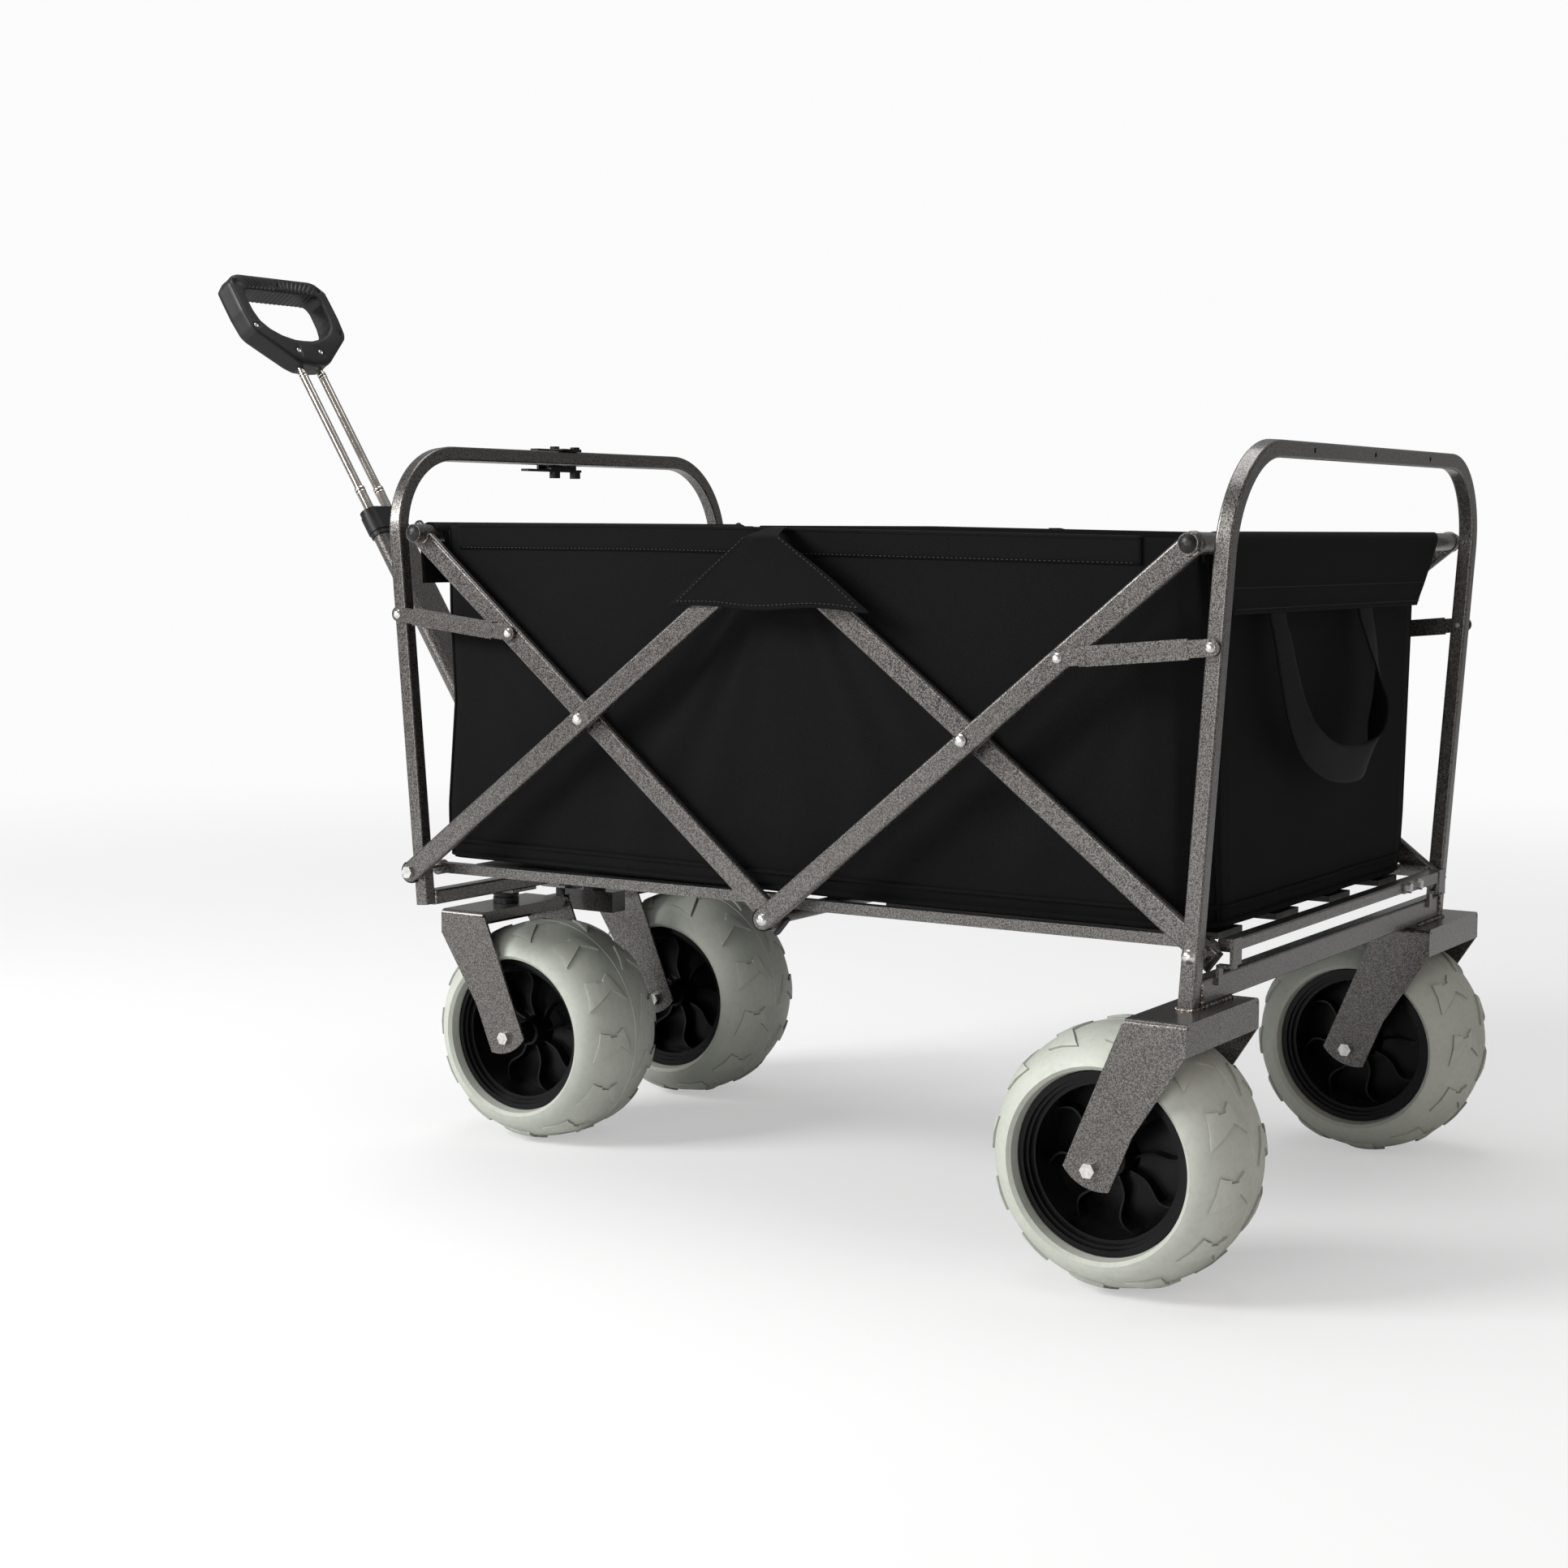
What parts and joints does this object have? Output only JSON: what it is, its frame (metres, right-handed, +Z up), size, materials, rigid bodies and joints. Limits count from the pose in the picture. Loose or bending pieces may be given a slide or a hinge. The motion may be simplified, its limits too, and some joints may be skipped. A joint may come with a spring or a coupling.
{
  "type": "folding beach cart",
  "caption": "Folding fabric cart with scissor-bar sides, balloon wheels on forks, swivelling front casters and a telescopic pull handle.",
  "frame": {"origin": "on the ground under the centre of the cart's overall length and width", "axes": "+X towards the rear, -X towards the pull handle, +Y to the cart's right, +Z up"},
  "size_m": [1.5262, 0.833, 1.023],
  "materials": {
    "paint": "hammered",
    "steel": "zinc plated",
    "chrome": "polished",
    "plastic": "satin",
    "fabric": "woven",
    "tyre": "matte"
  },
  "bodies": {
    "front_frame": {"front_frame_tube": "paint", "front_cross_bar": "paint", "handle_clip": "plastic", "handle_bracket": "paint", "bearing_bushes": "plastic"},
    "inner_lower_bars": {"bar_b_left": "paint", "bar_b_right": "paint", "bar_b_caps": "plastic", "bar_b_bolts": "steel"},
    "front_bars": {"bar_a_left": "paint", "bar_a_right": "paint", "front_top_tube": "paint", "front_caps": "plastic"},
    "rear_inner_bars": {"bar_d_left": "paint", "bar_d_right": "paint", "bar_d_plugs": "plastic", "bar_d_bolts": "steel"},
    "rear_outer_bars": {"bar_c_left": "paint", "bar_c_right": "paint", "rear_top_tube": "paint", "rear_caps": "plastic", "bottom_cross_tube": "paint", "bottom_bolts": "steel"},
    "rear_frame": {"rear_frame_tube": "paint", "rear_cross_bar": "paint", "rear_fork_left": "paint", "rear_fork_right": "paint", "rear_fasteners": "steel", "base_rear_bar": "paint"},
    "wheel_rear_left": {"tyre_rear_left": "tyre", "hub_rear_left": "plastic"},
    "wheel_rear_right": {"tyre_rear_right": "tyre", "hub_rear_right": "plastic"},
    "caster_left": {"caster_fork_left": "paint", "caster_axle_left": "steel"},
    "caster_right": {"caster_fork_right": "paint", "caster_axle_right": "steel"},
    "wheel_front_left": {"tyre_front_left": "tyre", "hub_front_left": "plastic"},
    "wheel_front_right": {"tyre_front_right": "tyre", "hub_front_right": "plastic"},
    "front_link_pair": {"front_links": "paint", "front_link_rivets": "steel"},
    "rear_link_pair": {"rear_links": "paint", "rear_link_rivets": "steel"},
    "base_front": {"base_rails_front": "paint", "base_slats_front": "plastic"},
    "base_rear": {"base_rails_rear": "paint", "base_slats_rear": "plastic"},
    "handle_yoke_body": {"handle_yoke": "paint"},
    "handle_lower": {"handle_tube": "paint", "handle_collar": "plastic"},
    "handle_stage_1": {"rods_lower": "chrome"},
    "handle_stage_2": {"rods_middle": "chrome"},
    "handle_stage_3": {"rods_upper": "chrome", "grip": "plastic", "grip_screws": "steel"},
    "bag": {"fabric_bag": "fabric", "side_flaps": "fabric", "webbing_loop": "fabric"}
  },
  "joints": [
    {"name": "fold", "type": "hinge", "parent": "front_frame", "child": "inner_lower_bars", "pos_m": [-0.2284, 0, 0.3255], "axis": [0, -1, 0], "range_deg": [0, 42.8]},
    {"name": "fold_front_bars", "type": "hinge", "parent": "inner_lower_bars", "child": "front_bars", "pos_m": [0.0036, 0, 0.5045], "axis": [0, -1, 0], "range_deg": [-83.37, 0]},
    {"name": "fold_rear_inner", "type": "hinge", "parent": "inner_lower_bars", "child": "rear_inner_bars", "pos_m": [0.235, 0, 0.6793], "axis": [0, -1, 0], "range_deg": [-85.7, 0]},
    {"name": "fold_rear_outer", "type": "hinge", "parent": "rear_inner_bars", "child": "rear_outer_bars", "pos_m": [0.4664, 0, 0.5045], "axis": [0, -1, 0], "range_deg": [0, 83.37]},
    {"name": "fold_rear_frame", "type": "hinge", "parent": "rear_inner_bars", "child": "rear_frame", "pos_m": [0.7034, 0, 0.3194], "axis": [0, -1, 0], "range_deg": [0, 42.9]},
    {"name": "fold_bag", "type": "hinge", "parent": "front_bars", "child": "bag", "pos_m": [-0.22, 0, 0.697], "axis": [0, -1, 0], "range_deg": [0, 40.57], "deforming": ["fabric_bag", "side_flaps", "webbing_loop"]},
    {"name": "fold_front_links", "type": "hinge", "parent": "front_frame", "child": "front_link_pair", "pos_m": [-0.252, 0, 0.6085], "axis": [0, -1, 0], "range_deg": [0, 73.5]},
    {"name": "fold_rear_links", "type": "hinge", "parent": "rear_frame", "child": "rear_link_pair", "pos_m": [0.7225, 0, 0.6], "axis": [0, -1, 0], "range_deg": [-75.77, 0]},
    {"name": "fold_base_front", "type": "hinge", "parent": "front_frame", "child": "base_front", "pos_m": [-0.2284, 0, 0.3255], "axis": [0, -1, 0], "range_deg": [0, 77.7]},
    {"name": "fold_base_rear", "type": "hinge", "parent": "rear_frame", "child": "base_rear", "pos_m": [0.7034, 0, 0.3194], "axis": [0, -1, 0], "range_deg": [-77.7, 0]},
    {"name": "spin_rear_left", "type": "hinge", "parent": "rear_frame", "child": "wheel_rear_left", "pos_m": [0.638, -0.3266, 0.127], "axis": [0, 1, 0], "continuous": true},
    {"name": "spin_rear_right", "type": "hinge", "parent": "rear_frame", "child": "wheel_rear_right", "pos_m": [0.638, 0.3266, 0.127], "axis": [0, 1, 0], "continuous": true},
    {"name": "swivel_left", "type": "hinge", "parent": "front_frame", "child": "caster_left", "pos_m": [-0.2455, -0.1463, 0.267], "axis": [0, 0, 1], "continuous": true},
    {"name": "swivel_right", "type": "hinge", "parent": "front_frame", "child": "caster_right", "pos_m": [-0.2455, 0.1463, 0.267], "axis": [0, 0, 1], "continuous": true},
    {"name": "spin_front_left", "type": "hinge", "parent": "caster_left", "child": "wheel_front_left", "pos_m": [-0.1835, -0.1463, 0.127], "axis": [0, 1, 0], "continuous": true},
    {"name": "spin_front_right", "type": "hinge", "parent": "caster_right", "child": "wheel_front_right", "pos_m": [-0.1835, 0.1463, 0.127], "axis": [0, 1, 0], "continuous": true},
    {"name": "handle_yaw", "type": "hinge", "parent": "front_frame", "child": "handle_yoke_body", "pos_m": [-0.272, 0, 0.262], "axis": [0, 0, 1], "range_deg": [-25, 25]},
    {"name": "handle_tilt", "type": "hinge", "parent": "handle_yoke_body", "child": "handle_lower", "pos_m": [-0.2783, 0, 0.28], "axis": [0, 1, 0], "range_deg": [-56, 28]},
    {"name": "handle_slide_1", "type": "slide", "parent": "handle_lower", "child": "handle_stage_1", "axis": [-0.5397, 0, 0.8419], "range_m": [0, 0.165]},
    {"name": "handle_slide_2", "type": "slide", "parent": "handle_stage_1", "child": "handle_stage_2", "axis": [-0.5397, 0, 0.8419], "range_m": [-0.165, 0]},
    {"name": "handle_slide_3", "type": "slide", "parent": "handle_stage_2", "child": "handle_stage_3", "axis": [-0.5397, 0, 0.8419], "range_m": [0, 0.15]}
  ],
  "couplings": [
    {"joint": "fold_front_bars", "follows": "fold", "ratio": -1.9455},
    {"joint": "fold_rear_inner", "follows": "fold", "ratio": -2},
    {"joint": "fold_rear_outer", "follows": "fold", "ratio": 1.9455},
    {"joint": "fold_rear_frame", "follows": "fold", "ratio": 1},
    {"joint": "fold_bag", "follows": "fold", "ratio": 0.9455},
    {"joint": "fold_front_links", "follows": "fold", "ratio": 1.715},
    {"joint": "fold_rear_links", "follows": "fold", "ratio": -1.768},
    {"joint": "fold_base_front", "follows": "fold", "ratio": 1.813},
    {"joint": "fold_base_rear", "follows": "fold", "ratio": -1.813}
  ]
}
